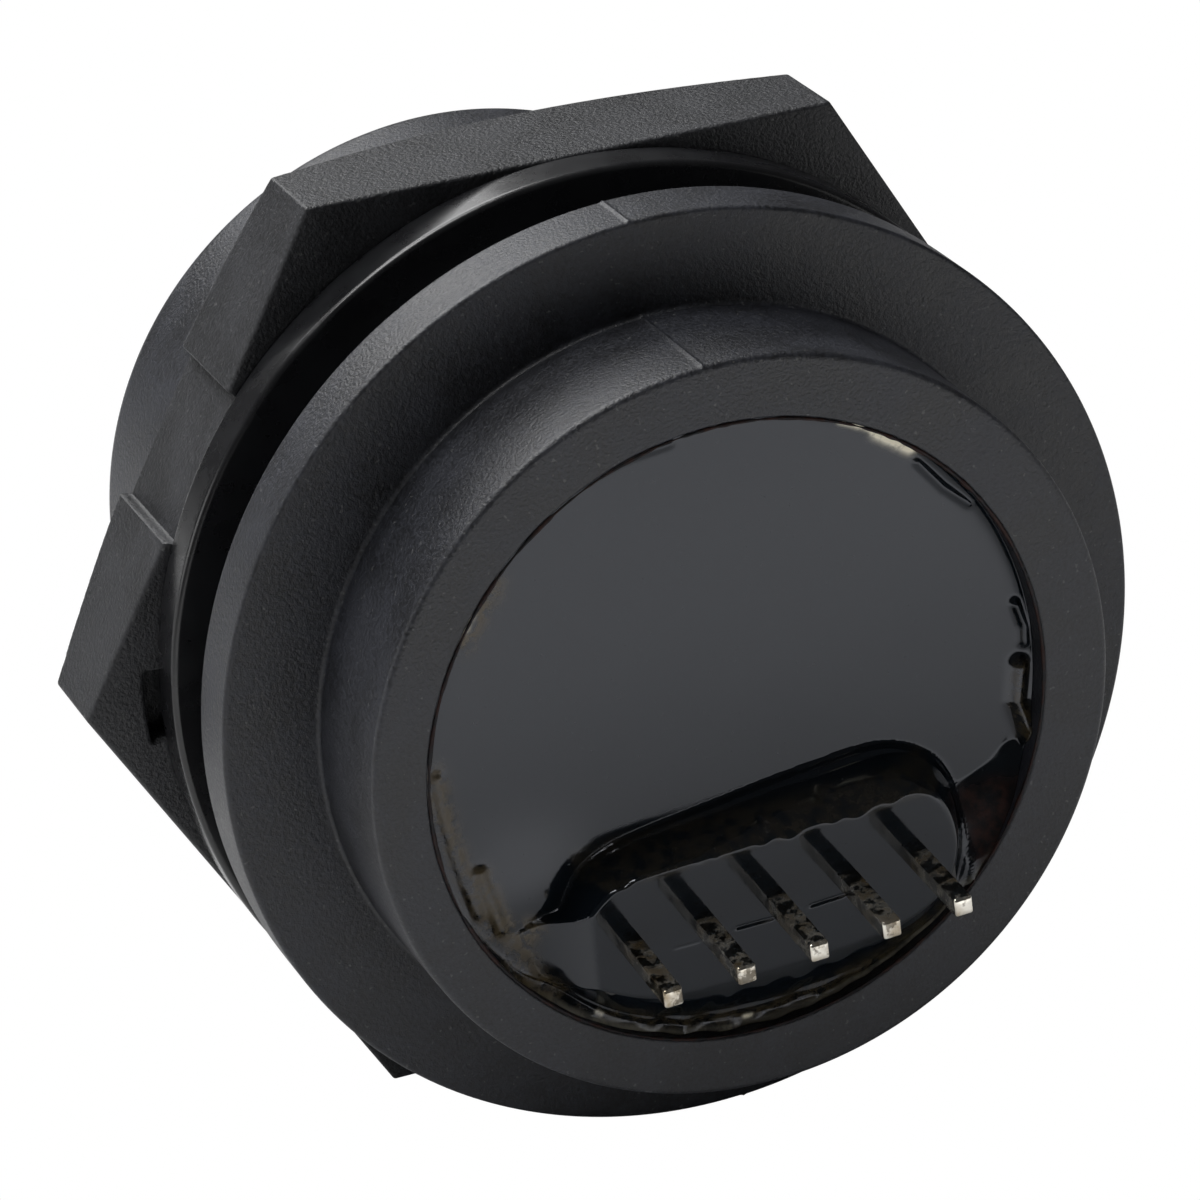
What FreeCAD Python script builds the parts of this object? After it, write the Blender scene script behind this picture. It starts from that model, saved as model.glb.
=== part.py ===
import FreeCAD, Part
import math
import os
import Sketcher

# Panel mount USB socket, millimetres.
# The axis of the socket is Y: the USB mouth faces +Y, the header pins face -Y, +Z is up.
# The origin lies on the axis, on the face of the flange that sits against the panel.

SIZES = {
    # Housing, from the rear rim to the nose: two bores, and the walls and steps round them
    "pocket_dia": 21.5,
    "boss_wall": 2.0,
    "boss_len": 5.0,
    "nose_bore": 21.2,
    "nose_wall": 2.5,
    "nose_len": 6.2,
    "nose_depth": 9.0,
    "thread_step": 0.9,
    "thread_len": 13.0,
    "thread_pitch": 1.5,
    "thread_relief": 1.4,
    "root_stand": 0.1,
    "flange_step": 2.0,
    "flange_thick": 2.4,
    "stop_step": 1.35,
    "stop_thick": 1.5,
    "rim_round": 0.3,
    "flange_round": 0.2,
    "foot_round": 0.2,
    "nose_round": 0.8,
    "thread_lead": 0.9,
    "mouth_lead": 0.5,
    # Panel gasket and nut
    "panel_space": 2.9,
    "gasket_thick": 1.7,
    "gasket_round": 0.45,
    "gasket_gap": 0.05,
    "nut_wall": 2.0,
    "nut_thick": 5.0,
    "nut_turn": -3.2,
    "nut_edge": 0.15,
    "nut_lead": 0.5,
    "chamfer_drop": 1.45,
    "strip_wide": 5.4,
    "strip_deep": 0.45,
    "slot_wide": 2.3,
    "slot_deep": 1.2,
    "slot_past": 0.35,
    # Potting
    "pool_depth": 1.1,
    "mesa_end": 0.75,
    "mesa_side": 0.8,
    "mesa_bend": 1.9,
    "mesa_shift": 0.35,
    "mesa_proud": 0.45,
    "mesa_foot": 0.5,
    "mesa_edge": 0.25,
    "meniscus": 0.45,
    "meniscus_knee": 0.15,
    "meniscus_edge": 0.05,
    # Header and board
    "pitch": 2.54,
    "pin_size": 0.64,
    "pin_point": 0.15,
    "pin_out": 3.45,
    "pin_tail": 0.9,
    "row_rise": 4.55,
    "block_thick": 2.5,
    "block_tall": 2.5,
    "block_notch": 0.35,
    "board_gap": 0.45,
    "board_thick": 1.6,
    "pin_hole": 1.0,
    "tail_hole": 0.95,
    "tail_out": 0.6,
    "tab_gap": 0.15,
    # USB receptacle
    "mouth_stand": 0.9,
    "shell_wide": 13.1,
    "shell_tall": 5.7,
    "shell_sheet": 0.3,
    "shell_bend": 0.6,
    "lip_inset": 1.2,
    "lip_out": 0.35,
    "tab_wide": 2.0,
    "spring_wide": 1.9,
    "spring_len": 5.2,
    "spring_peak": 3.6,
    "spring_slit": 0.35,
    "spring_shift": 3.1,
    "spring_start": 2.2,
    "spring_dip": 0.35,
    "insert_gap": 0.02,
    "insert_len": 5.2,
    "tongue_side": 0.7,
    "tongue_thick": 1.84,
    "tongue_above": 0.65,
    "tongue_short": 1.2,
    "tongue_lead": 0.3,
    "contact_wide": 1.0,
    "contact_sheet": 0.25,
    "contact_groove": 0.15,
    "contact_short": 0.7,
    "contact_bow": 0.3,
    "bow_len": 2.4,
    "bow_back": 0.6,
    "tail_wide": 0.6,
    "outer_contact": 3.5,
    "inner_contact": 1.0,
    # Carrier and seals
    "carrier_gap": 0.1,
    "skirt_wall": 0.85,
    "skirt_len": 3.0,
    "shell_gap": 0.05,
    "seal_section": 1.1,
    "seal_back": 2.7,
    "seal_side": 0.2,
    "plug_seal_section": 1.5,
    "plug_seal_back": 3.6,
    "plug_seal_stand": 0.45,
    # How far a cutting outline runs past the part
    "cut_past": 2.0,
}

PIN_COUNT = 5
NUT_SIDES = 6
# Distance from a hexagon's middle to its corner, over the distance to its flat
HEX_CORNER = 2 / math.sqrt(3)
# Angle from the nut's first corner to the middle of the flat with the sunk strip, in degrees
STRIP_ANGLE = 150
# Half the width of the thread's groove, over the pitch: at its root, and at the barrel's surface
ROOT_SHARE = 1 / 16
CREST_SHARE = 7 / 16


class Size:
    """A length that carries its number and the sheet expression that it comes from."""

    def __init__(self, value, text):
        self.value = value
        self.text = text

    def joined(self, sign, other, value):
        text = other.text if isinstance(other, Size) else repr(other)
        return Size(value, f"({self.text} {sign} {text})")

    def __add__(self, other):
        return self.joined("+", other, self.value + number(other))

    def __sub__(self, other):
        return self.joined("-", other, self.value - number(other))

    def __mul__(self, factor):
        return self.joined("*", factor, self.value * factor)

    def __truediv__(self, divisor):
        return self.joined("/", divisor, self.value / divisor)

    def __neg__(self):
        return self * -1


def number(item):
    return item.value if isinstance(item, Size) else item


doc = FreeCAD.newDocument("UsbPanelSocket")
sheet = doc.addObject("Spreadsheet::Sheet", "Sizes")
for row, (alias, value) in enumerate(SIZES.items(), start=1):
    sheet.set(f"A{row}", alias)
    sheet.set(f"B{row}", str(value))
    sheet.setAlias(f"B{row}", alias)
doc.recompute()


def size(alias):
    return Size(SIZES[alias], f"Sizes.{alias}")


ZERO = Size(0.0, "0")

# Places along the axis, from the panel seat at zero
FLANGE_BACK = -size("flange_thick")
REAR_RIM = FLANGE_BACK - size("boss_len")
THREAD_END = size("thread_len")
NOSE_END = THREAD_END + size("nose_len")
NOSE_FLOOR = NOSE_END - size("nose_depth")
STOP_BACK = NOSE_FLOOR - size("stop_thick")
GASKET_BACK = size("panel_space")
NUT_BACK = GASKET_BACK + size("gasket_thick")
NUT_FRONT = NUT_BACK + size("nut_thick")
POOL = REAR_RIM + size("pool_depth")
MESA_TOP = REAR_RIM - size("mesa_proud")
BOARD_BACK = MESA_TOP + size("block_thick")
BOARD_FRONT = BOARD_BACK + size("board_thick")
TAIL_END = BOARD_BACK - size("tail_out")
SHELL_MOUTH = NOSE_FLOOR + size("mouth_stand")
INSERT_FRONT = BOARD_FRONT + size("insert_len")
TONGUE_END = SHELL_MOUTH - size("tongue_short")
CONTACT_END = TONGUE_END - size("contact_short")

# Radii
POCKET = size("pocket_dia") / 2
BOSS = POCKET + size("boss_wall")
STOP = POCKET - size("stop_step")
BOARD = POCKET - size("board_gap")
BORE = size("nose_bore") / 2
NOSE = BORE + size("nose_wall")
THREAD = NOSE + size("thread_step")
THREAD_ROOT = NOSE + size("root_stand")
FLANGE = THREAD + size("flange_step")
NUT_FLAT = THREAD + size("nut_wall")
NUT_CORNER = NUT_FLAT * HEX_CORNER

# Places across the axis
ROW = size("row_rise") - POCKET
SHELL_INNER = size("shell_tall") / 2 - size("shell_sheet")
TONGUE_TOP = SHELL_INNER - size("tongue_above")
TONGUE_FACE = TONGUE_TOP - size("tongue_thick")
CONTACT_TOP = TONGUE_FACE + size("contact_groove")
CONTACT_FACE = CONTACT_TOP - size("contact_sheet")
CONTACT_MIDDLE = CONTACT_TOP - size("contact_sheet") / 2
CONTACT_PLACES = [
    -size("outer_contact"),
    -size("inner_contact"),
    size("inner_contact"),
    size("outer_contact"),
]
TAB_PLACES = [(size("shell_wide") - size("shell_sheet")) * half for half in (-0.5, 0.5)]
PIN_PLACES = [size("pitch") * (index - (PIN_COUNT - 1) / 2) for index in range(PIN_COUNT)]
MESA_WIDE = size("pitch") * PIN_COUNT + size("mesa_end") * 2
MESA_TALL = size("block_tall") + size("mesa_side") * 2


def new_body(label):
    body = doc.addObject("PartDesign::Body", label)
    body.Label = label
    body.Placement = FreeCAD.Placement()
    return body


def new_sketch(body, name, role, offset=None):
    """Empty sketch on one of the body's origin planes, moved by offset along its normal."""
    plane = next(item for item in body.Origin.OriginFeatures if item.Role == role)
    sketch = body.newObject("Sketcher::SketchObject", name)
    sketch.AttachmentSupport = (plane, "")
    sketch.MapMode = "FlatFace"
    if offset is not None:
        sketch.AttachmentOffset = FreeCAD.Placement(
            FreeCAD.Vector(0, 0, number(offset)), FreeCAD.Rotation()
        )
        sketch.setExpression("AttachmentOffset.Base.z", offset.text)
    return sketch


def bind_point(sketch, geometry, end, across, along):
    """Hold one end of a curve at a place that follows the sheet."""
    for kind, place in (("DistanceX", across), ("DistanceY", along)):
        value = number(place)
        index = sketch.addConstraint(Sketcher.Constraint(kind, -1, 1, geometry, end, value))
        if isinstance(place, Size):
            sketch.setExpression(f"Constraints[{index}]", place.text)


def add_outline(sketch, corners):
    """Closed outline of straight lines whose corners follow the sheet."""
    points = [FreeCAD.Vector(number(x), number(y), 0) for x, y in corners]
    count = len(points)
    first = sketch.GeometryCount
    for index, start in enumerate(points):
        sketch.addGeometry(Part.LineSegment(start, points[(index + 1) % count]), False)
    for index in range(count):
        after = (index + 1) % count
        sketch.addConstraint(
            Sketcher.Constraint("Coincident", first + index, 2, first + after, 1)
        )
    for index, (x, y) in enumerate(corners):
        bind_point(sketch, first + index, 1, x, y)


def add_circle(sketch, x, y, diameter):
    """Circle whose centre and diameter follow the sheet."""
    centre = FreeCAD.Vector(number(x), number(y), 0)
    circle = Part.Circle(centre, FreeCAD.Vector(0, 0, 1), number(diameter) / 2)
    index = sketch.addGeometry(circle, False)
    bind_point(sketch, index, 3, x, y)
    width = sketch.addConstraint(Sketcher.Constraint("Diameter", index, number(diameter)))
    sketch.setExpression(f"Constraints[{width}]", diameter.text)


def add_rounded_box(sketch, x, y, wide, tall, radius):
    """Box with round corners: four sides and four arcs, tangent where they meet."""
    first = sketch.GeometryCount
    flat_wide = wide / 2 - radius
    flat_tall = tall / 2 - radius
    for quarter, (side, level) in enumerate([(1, -1), (1, 1), (-1, 1), (-1, -1)]):
        centre_x = x + flat_wide * side
        centre_y = y + flat_tall * level
        centre = FreeCAD.Vector(number(centre_x), number(centre_y), 0)
        circle = Part.Circle(centre, FreeCAD.Vector(0, 0, 1), number(radius))
        start = (quarter - 1) * math.pi / 2
        arc = sketch.addGeometry(Part.ArcOfCircle(circle, start, start + math.pi / 2), False)
        bind_point(sketch, arc, 3, centre_x, centre_y)
        bend = sketch.addConstraint(Sketcher.Constraint("Radius", arc, number(radius)))
        sketch.setExpression(f"Constraints[{bend}]", radius.text)
    for quarter in range(4):
        arc = first + quarter
        after = first + (quarter + 1) % 4
        start = sketch.getPoint(arc, 2)
        end = sketch.getPoint(after, 1)
        side = sketch.addGeometry(Part.LineSegment(start, end), False)
        sketch.addConstraint(Sketcher.Constraint("Tangent", arc, 2, side, 1))
        sketch.addConstraint(Sketcher.Constraint("Tangent", side, 2, after, 1))


def box_corners(left, right, low, high):
    return [(left, low), (right, low), (right, high), (left, high)]


def centred_box(x, y, wide, tall):
    return box_corners(x - wide / 2, x + wide / 2, y - tall / 2, y + tall / 2)


def turned(corners, degrees):
    """The same corners, turned about the sketch origin."""
    cosine = round(math.cos(math.radians(degrees)), 9)
    sine = round(math.sin(math.radians(degrees)), 9)
    return [(x * cosine - y * sine, x * sine + y * cosine) for x, y in corners]


def check_volume(body, before, grows):
    after = body.Shape.Volume
    if grows and after <= before or not grows and after >= before:
        raise RuntimeError(f"{body.Label}: the last step changed nothing")


def finish_step(body, feature, grows):
    before = body.Shape.Volume if body.Shape.Solids else 0.0
    body.Tip = feature
    doc.recompute()
    check_volume(body, before, grows)


def revolve(body, name, sketch, grows=True):
    """Revolve a sketch about the Y axis, to add or to cut."""
    kind = "PartDesign::Revolution" if grows else "PartDesign::Groove"
    feature = body.newObject(kind, name)
    feature.Profile = sketch
    feature.ReferenceAxis = (sketch, ["V_Axis"])
    feature.Angle = 360
    finish_step(body, feature, grows)


def turn_profile(body, name, corners, grows=True):
    """Revolve a profile of (radius, place along the axis) corners."""
    sketch = new_sketch(body, name + "Profile", "XY_Plane")
    add_outline(sketch, corners)
    revolve(body, name, sketch, grows)


def cross_sketch(body, name, place):
    """Sketch across the socket's axis at the given place: its x is X and its y is Z."""
    return new_sketch(body, name, "XZ_Plane", -place)


def push(body, name, sketch, length, forward, grows=True):
    """Pad or pocket a cross sketch, forward towards +Y or back towards -Y."""
    feature = body.newObject("PartDesign::Pad" if grows else "PartDesign::Pocket", name)
    feature.Profile = sketch
    feature.Length = number(length)
    feature.setExpression("Length", length.text)
    feature.Reversed = forward if grows else not forward
    finish_step(body, feature, grows)


def push_sideways(body, name, sketch, length, grows=True):
    """Pad or pocket a side sketch by the same amount to its two sides."""
    feature = body.newObject("PartDesign::Pad" if grows else "PartDesign::Pocket", name)
    feature.Profile = sketch
    feature.SideType = "Symmetric"
    feature.Length = number(length)
    feature.setExpression("Length", length.text)
    finish_step(body, feature, grows)


def ring_edges(shape, radius, place):
    """Names of the circular edges with this radius at this place along the axis."""
    names = []
    for index, edge in enumerate(shape.Edges, start=1):
        curve = edge.Curve
        if not isinstance(curve, Part.Circle):
            continue
        same_radius = abs(curve.Radius - number(radius)) < 1e-4
        same_place = abs(curve.Center.y - number(place)) < 1e-4
        if same_radius and same_place:
            names.append(f"Edge{index}")
    return names


def edges_along(shape, direction, least_radius=0.0):
    """Names of the straight edges along direction, no nearer the axis than least_radius."""
    names = []
    for index, edge in enumerate(shape.Edges, start=1):
        if not isinstance(edge.Curve, Part.Line):
            continue
        middle = edge.CenterOfMass
        lined_up = abs(abs(edge.Curve.Direction.dot(direction)) - 1) < 1e-6
        if lined_up and math.hypot(middle.x, middle.z) >= least_radius:
            names.append(f"Edge{index}")
    return names


def level_edges(shape, place):
    """Names of the edges that lie wholly at one place along the axis."""
    names = []
    for index, edge in enumerate(shape.Edges, start=1):
        box = edge.BoundBox
        if max(abs(box.YMin - number(place)), abs(box.YMax - number(place))) < 1e-4:
            names.append(f"Edge{index}")
    return names


def dress(body, kind, name, edges, length):
    """Round or chamfer named edges of the body's last feature."""
    if not edges:
        raise RuntimeError(f"{body.Label}: {name} found no edge")
    base = body.Tip
    feature = body.newObject(f"PartDesign::{kind}", name)
    feature.Base = (base, edges)
    setting = "Radius" if kind == "Fillet" else "Size"
    setattr(feature, setting, number(length))
    feature.setExpression(setting, length.text)
    body.Tip = feature
    doc.recompute()
    if "Invalid" in feature.State:
        raise RuntimeError(f"{body.Label}: {name} failed")


def cut_thread(body):
    """Cut the barrel's thread: a relief next to the flange, then a V groove swept along a helix that
    starts in the relief and runs out past the barrel's end."""
    relief = size("thread_relief")
    turn_profile(body, "ThreadRelief", box_corners(THREAD_ROOT, FLANGE, ZERO, relief), grows=False)
    pitch = size("thread_pitch")
    start = relief / 2
    root = pitch * ROOT_SHARE
    crest = pitch * CREST_SHARE
    outside = THREAD + size("thread_step")
    sketch = new_sketch(body, "ThreadGrooveProfile", "XY_Plane")
    add_outline(sketch, [
        (THREAD_ROOT, start - root),
        (THREAD, start - crest),
        (outside, start - crest),
        (outside, start + crest),
        (THREAD, start + crest),
        (THREAD_ROOT, start + root),
    ])
    feature = body.newObject("PartDesign::SubtractiveHelix", "ThreadGroove")
    feature.Profile = sketch
    feature.ReferenceAxis = (sketch, ["V_Axis"])
    feature.Mode = "pitch-height-angle"
    height = THREAD_END + pitch - start
    for setting, length in (("Pitch", pitch), ("Height", height)):
        setattr(feature, setting, number(length))
        feature.setExpression(setting, length.text)
    finish_step(body, feature, grows=False)


def make_housing():
    body = new_body("housing")
    turn_profile(body, "Wall", [
        (POCKET, REAR_RIM),
        (BOSS, REAR_RIM),
        (BOSS, FLANGE_BACK),
        (FLANGE, FLANGE_BACK),
        (FLANGE, 0),
        (THREAD, 0),
        (THREAD, THREAD_END - size("thread_lead")),
        (NOSE, THREAD_END),
        (NOSE, NOSE_END),
        (BORE, NOSE_END),
        (BORE, NOSE_FLOOR),
        (STOP, NOSE_FLOOR),
        (STOP, STOP_BACK),
        (POCKET, STOP_BACK),
    ])
    seal_centre = NOSE_END - size("plug_seal_back")
    seal_half = size("plug_seal_section") / 2 + size("seal_side")
    turn_profile(body, "PlugSealGroove", box_corners(
        BORE - size("plug_seal_stand"),
        BORE - size("plug_seal_stand") + size("plug_seal_section"),
        seal_centre - seal_half,
        seal_centre + seal_half,
    ), grows=False)
    shape = body.Shape
    dress(body, "Fillet", "RimRound", ring_edges(shape, BOSS, REAR_RIM), size("rim_round"))
    shape = body.Shape
    dress(body, "Fillet", "FootRound", ring_edges(shape, BOSS, FLANGE_BACK), size("foot_round"))
    shape = body.Shape
    corners = ring_edges(shape, FLANGE, FLANGE_BACK) + ring_edges(shape, FLANGE, 0)
    dress(body, "Fillet", "FlangeRound", corners, size("flange_round"))
    shape = body.Shape
    dress(body, "Fillet", "NoseRound", ring_edges(shape, NOSE, NOSE_END), size("nose_round"))
    shape = body.Shape
    dress(body, "Chamfer", "MouthLead", ring_edges(shape, BORE, NOSE_END), size("mouth_lead"))
    cut_thread(body)
    return body


def make_gasket():
    body = new_body("panel_gasket")
    inner = THREAD + size("gasket_gap")
    turn_profile(body, "Ring", box_corners(inner, FLANGE, GASKET_BACK, NUT_BACK))
    shape = body.Shape
    corners = ring_edges(shape, FLANGE, GASKET_BACK) + ring_edges(shape, FLANGE, NUT_BACK)
    dress(body, "Fillet", "OuterRound", corners, size("gasket_round"))
    return body


def make_nut():
    body = new_body("hex_nut")
    sketch = cross_sketch(body, "HexOutline", NUT_BACK)
    step = 360 / NUT_SIDES
    first = [(NUT_CORNER, ZERO)]
    add_outline(sketch, [turned(first, step * side)[0] for side in range(NUT_SIDES)])
    push(body, "Hexagon", sketch, size("nut_thick"), forward=True)
    strip = cross_sketch(body, "StripOutline", NUT_BACK)
    half_strip = size("strip_wide") / 2
    strip_box = box_corners(NUT_FLAT - size("strip_deep"), NUT_CORNER, -half_strip, half_strip)
    add_outline(strip, turned(strip_box, STRIP_ANGLE))
    push(body, "FlatStrip", strip, size("nut_thick"), forward=True, grows=False)
    edges = edges_along(body.Shape, FreeCAD.Vector(0, 1, 0), number(NUT_CORNER) - 1e-3)
    dress(body, "Fillet", "CornerRound", edges, size("nut_edge"))
    past = size("cut_past")
    turn_profile(body, "FrontChamfer", [
        (NUT_FLAT, NUT_FRONT),
        (NUT_CORNER, NUT_FRONT - size("chamfer_drop")),
        (NUT_CORNER + past, NUT_FRONT - size("chamfer_drop")),
        (NUT_CORNER + past, NUT_FRONT + past),
        (NUT_FLAT, NUT_FRONT + past),
    ], grows=False)
    bore = cross_sketch(body, "BoreOutline", NUT_BACK)
    add_circle(bore, ZERO, ZERO, THREAD * 2)
    push(body, "ThreadBore", bore, size("nut_thick"), forward=True, grows=False)
    slot = cross_sketch(body, "SlotOutline", NUT_BACK)
    half_slot = size("slot_wide") / 2
    add_outline(slot, box_corners(-NUT_FLAT - size("slot_past"), -THREAD, -half_slot, half_slot))
    push(body, "CornerSlot", slot, size("slot_deep"), forward=True, grows=False)
    mouths = ring_edges(body.Shape, THREAD, NUT_FRONT)
    dress(body, "Chamfer", "ThreadLead", mouths, size("nut_lead"))
    body.Placement = FreeCAD.Placement(
        FreeCAD.Vector(0, 0, 0), FreeCAD.Rotation(FreeCAD.Vector(0, -1, 0), SIZES["nut_turn"])
    )
    body.setExpression("Placement.Rotation.Angle", size("nut_turn").text)
    return body


def header_outline():
    """Outline of the header strip, with a notch between each two pins."""
    half_tall = size("block_tall") / 2
    half_pitch = size("pitch") / 2
    notch = size("block_notch")
    top = ROW + half_tall
    corners = []
    for place in PIN_PLACES:
        corners.append((place - half_pitch, top - notch))
        corners.append((place - half_pitch + notch, top))
        corners.append((place + half_pitch - notch, top))
    corners.append((PIN_PLACES[-1] + half_pitch, top - notch))
    return corners + [(x, ROW * 2 - z) for x, z in reversed(corners)]


def make_header_block():
    body = new_body("header_block")
    outline = cross_sketch(body, "StripOutline", MESA_TOP)
    add_outline(outline, header_outline())
    push(body, "Strip", outline, size("block_thick"), forward=True)
    holes = cross_sketch(body, "PinHoles", MESA_TOP)
    for place in PIN_PLACES:
        add_outline(holes, centred_box(place, ROW, size("pin_size"), size("pin_size")))
    push(body, "Holes", holes, size("block_thick"), forward=True, grows=False)
    return body


def make_pin(index, place):
    body = new_body(f"header_pin_{index}")
    tip = MESA_TOP - size("pin_out")
    tail = BOARD_FRONT + size("pin_tail")
    section = cross_sketch(body, "PinSection", tip)
    add_outline(section, centred_box(place, ROW, size("pin_size"), size("pin_size")))
    push(body, "Pin", section, tail - tip, forward=True)
    edges = edges_along(body.Shape, FreeCAD.Vector(1, 0, 0))
    edges += edges_along(body.Shape, FreeCAD.Vector(0, 0, 1))
    dress(body, "Chamfer", "Points", edges, size("pin_point"))
    return body


def farthest(edge, middle):
    """Distance from middle to the farther end of the edge."""
    return max(vertex.Point.distanceToPoint(middle) for vertex in edge.Vertexes)


def mesa_foot_edges(shape):
    """Names of the edges where the raised part round the header meets the pool."""
    middle = FreeCAD.Vector(0, number(POOL), number(ROW + size("mesa_shift")))
    reach = number(MESA_WIDE) / 2 + 1e-3
    names = level_edges(shape, POOL)
    return [name for name in names if farthest(shape.getElement(name), middle) < reach]


def make_potting():
    body = new_body("potting")
    meniscus = size("meniscus")
    turn_profile(body, "Pool", [
        (ZERO, BOARD_BACK),
        (ZERO, POOL),
        (POCKET - meniscus, POOL),
        (POCKET - size("meniscus_knee"), POOL - size("meniscus_knee")),
        (POCKET - size("meniscus_edge"), POOL - meniscus),
        (POCKET, POOL - meniscus),
        (POCKET, BOARD_FRONT),
        (BOARD, BOARD_FRONT),
        (BOARD, BOARD_BACK),
    ])
    mesa = cross_sketch(body, "MesaOutline", POOL)
    centre = ROW + size("mesa_shift")
    add_rounded_box(mesa, ZERO, centre, MESA_WIDE, MESA_TALL, size("mesa_bend"))
    push(body, "Mesa", mesa, POOL - MESA_TOP, forward=False)
    dress(body, "Fillet", "MesaEdge", level_edges(body.Shape, MESA_TOP), size("mesa_edge"))
    dress(body, "Fillet", "MesaFoot", mesa_foot_edges(body.Shape), size("mesa_foot"))
    strip = cross_sketch(body, "StripPocket", MESA_TOP)
    add_outline(strip, header_outline())
    push(body, "HeaderPocket", strip, size("block_thick"), forward=True, grows=False)
    tails = cross_sketch(body, "TailPockets", TAIL_END)
    for place in CONTACT_PLACES:
        tail = centred_box(place, CONTACT_MIDDLE, size("tail_wide"), size("contact_sheet"))
        add_outline(tails, tail)
    for place in TAB_PLACES:
        add_outline(tails, centred_box(place, ZERO, size("shell_sheet"), size("tab_wide")))
    push(body, "Tails", tails, size("tail_out"), forward=True, grows=False)
    return body


def make_board():
    body = new_body("circuit_board")
    outline = cross_sketch(body, "BoardOutline", BOARD_BACK)
    add_circle(outline, ZERO, ZERO, BOARD * 2)
    for place in PIN_PLACES:
        add_circle(outline, place, ROW, size("pin_hole"))
    for place in CONTACT_PLACES:
        add_circle(outline, place, CONTACT_MIDDLE, size("tail_hole"))
    tab_hole_wide = size("shell_sheet") + size("tab_gap") * 2
    tab_hole_tall = size("tab_wide") + size("tab_gap") * 2
    for place in TAB_PLACES:
        add_outline(outline, centred_box(place, ZERO, tab_hole_wide, tab_hole_tall))
    push(body, "Board", outline, size("board_thick"), forward=True)
    return body


def spring_outline(level):
    """Side view of one shell spring: it leaves the wall, dips inwards and turns up at its end."""
    outer = size("shell_tall") / 2
    inner = outer - size("shell_sheet")
    dip = size("spring_dip")
    root = SHELL_MOUTH - size("spring_start")
    bend = root - size("spring_peak")
    end = root - size("spring_len")
    corners = [
        (root, inner),
        (bend, inner - dip),
        (end, inner - dip / 2),
        (end, outer - dip / 2),
        (bend, outer - dip),
        (root, outer),
    ]
    return [(y, z * level) for y, z in corners]


def lip_outline(wall, level):
    """Side view of one lip that flares out at the mouth of the shell."""
    outer = wall
    inner = wall - size("shell_sheet")
    flare = size("lip_out")
    corners = [
        (SHELL_MOUTH, inner),
        (SHELL_MOUTH + flare, inner + flare),
        (SHELL_MOUTH + flare, outer + flare),
        (SHELL_MOUTH, outer),
    ]
    return [(y, offset * level) for y, offset in corners]


def make_shell():
    body = new_body("receptacle_shell")
    wide = size("shell_wide")
    tall = size("shell_tall")
    thick = size("shell_sheet")
    length = SHELL_MOUTH - BOARD_FRONT
    outline = cross_sketch(body, "ShellOutline", BOARD_FRONT)
    add_rounded_box(outline, ZERO, ZERO, wide, tall, size("shell_bend"))
    inner_bend = size("shell_bend") - thick
    add_rounded_box(outline, ZERO, ZERO, wide - thick * 2, tall - thick * 2, inner_bend)
    push(body, "Walls", outline, length, forward=True)
    windows = new_sketch(body, "SpringWindows", "XY_Plane")
    slit = size("spring_slit")
    root = SHELL_MOUTH - size("spring_start")
    end = root - size("spring_len") - slit
    for side in (-1, 1):
        shift = size("spring_shift") * side
        half = size("spring_wide") / 2 + slit
        add_outline(windows, box_corners(shift - half, shift + half, end, root))
    push_sideways(body, "Windows", windows, tall + size("cut_past"), grows=False)
    for side in (-1, 1):
        for level in (-1, 1):
            shift = size("spring_shift") * side
            spring = new_sketch(body, "SpringSide", "YZ_Plane", shift)
            add_outline(spring, spring_outline(level))
            push_sideways(body, "Spring", spring, size("spring_wide"))
    for level in (-1, 1):
        lip = new_sketch(body, "LipSide", "YZ_Plane")
        add_outline(lip, lip_outline(tall / 2, level))
        push_sideways(body, "Lip", lip, wide - size("lip_inset") * 2)
        end_lip = new_sketch(body, "EndLipSide", "XY_Plane")
        add_outline(end_lip, [(x, y) for y, x in lip_outline(wide / 2, level)])
        push_sideways(body, "EndLip", end_lip, tall - size("lip_inset") * 2)
    tabs = cross_sketch(body, "TabOutlines", BOARD_FRONT)
    for place in TAB_PLACES:
        add_outline(tabs, centred_box(place, ZERO, thick, size("tab_wide")))
    push(body, "BoardTabs", tabs, BOARD_FRONT - TAIL_END, forward=False)
    return body


def make_insulator():
    body = new_body("receptacle_insulator")
    gap = size("insert_gap")
    wide = size("shell_wide") - size("shell_sheet") * 2 - gap * 2
    tall = size("shell_tall") - size("shell_sheet") * 2 - gap * 2
    back = cross_sketch(body, "BackOutline", BOARD_FRONT)
    add_rounded_box(back, ZERO, ZERO, wide, tall, size("shell_bend") - size("shell_sheet"))
    push(body, "Back", back, size("insert_len"), forward=True)
    tongue = cross_sketch(body, "TongueOutline", INSERT_FRONT)
    half = size("shell_wide") / 2 - size("shell_sheet") - size("tongue_side")
    add_outline(tongue, box_corners(-half, half, TONGUE_FACE, TONGUE_TOP))
    push(body, "Tongue", tongue, TONGUE_END - INSERT_FRONT, forward=True)
    front = level_edges(body.Shape, TONGUE_END)
    dress(body, "Chamfer", "TongueLead", front, size("tongue_lead"))
    grooves = cross_sketch(body, "ContactGrooves", BOARD_FRONT)
    for place in CONTACT_PLACES:
        half = size("contact_wide") / 2 + gap
        box = box_corners(place - half, place + half, CONTACT_FACE - gap, CONTACT_TOP)
        add_outline(grooves, box)
    push(body, "Grooves", grooves, CONTACT_END + gap - BOARD_FRONT, forward=True, grows=False)
    return body


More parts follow.
